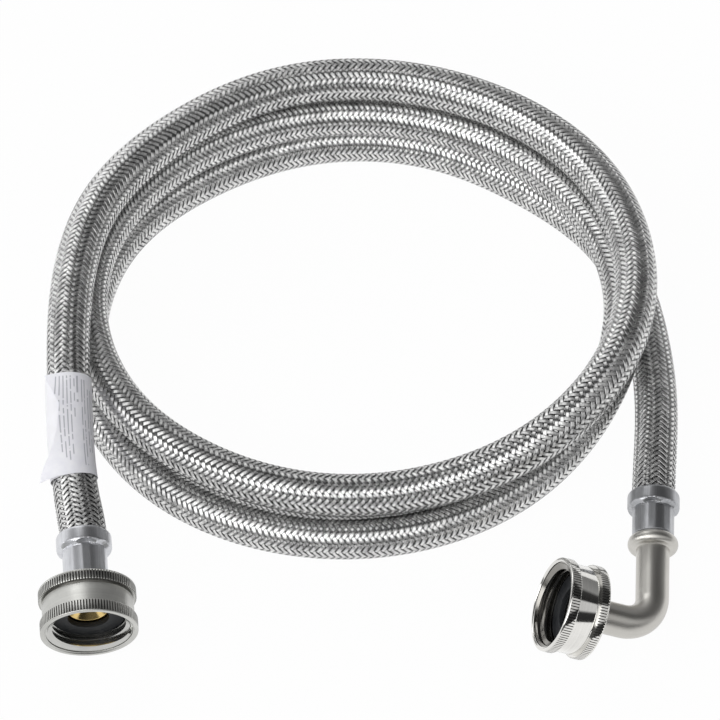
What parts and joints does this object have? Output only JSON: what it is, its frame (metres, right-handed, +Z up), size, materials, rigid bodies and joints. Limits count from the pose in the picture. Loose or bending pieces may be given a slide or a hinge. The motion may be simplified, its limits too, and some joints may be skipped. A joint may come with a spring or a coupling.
{
  "type": "washing machine fill hose",
  "caption": "Braided steel washing machine fill hose in a loose coil, one straight and one elbow end, each with a knurled swivel nut.",
  "frame": {"origin": "on the floor that the hose lies on, under the middle of the box round the two metal end fittings", "axes": "+Z up, +X from the straight fitting towards the elbow fitting, +Y from the fittings towards the coil"},
  "size_m": [0.2141, 0.2289, 0.0445],
  "materials": {
    "braid": "bright woven wire",
    "liner": "matt",
    "nut": "satin plating with knurled rings",
    "ferrule": "satin, crimped",
    "elbow": "bright nickel",
    "insert": "machined",
    "seal": "matt",
    "label": "printed paper with plain grey bars"
  },
  "bodies": {
    "hose": {"hose_braid": "braid", "hose_liner": "liner", "hose_label": "label", "straight_insert": "insert", "straight_ferrule": "ferrule", "straight_washer": "seal", "elbow_tube": "elbow", "elbow_ferrule": "ferrule", "elbow_washer": "seal"},
    "straight_swivel": {"straight_nut": "nut"},
    "elbow_swivel": {"elbow_nut": "nut"}
  },
  "joints": [
    {"name": "straight_nut_spin", "type": "hinge", "parent": "hose", "child": "straight_swivel", "pos_m": [-0.09027, -0.01845, 0.01684], "axis": [-0.0756, 0.9933, 0.0872], "continuous": true},
    {"name": "elbow_nut_spin", "type": "hinge", "parent": "hose", "child": "elbow_swivel", "pos_m": [0.06969, -0.01766, 0.0181], "axis": [0.912, 0.0005, -0.4102], "continuous": true}
  ]
}
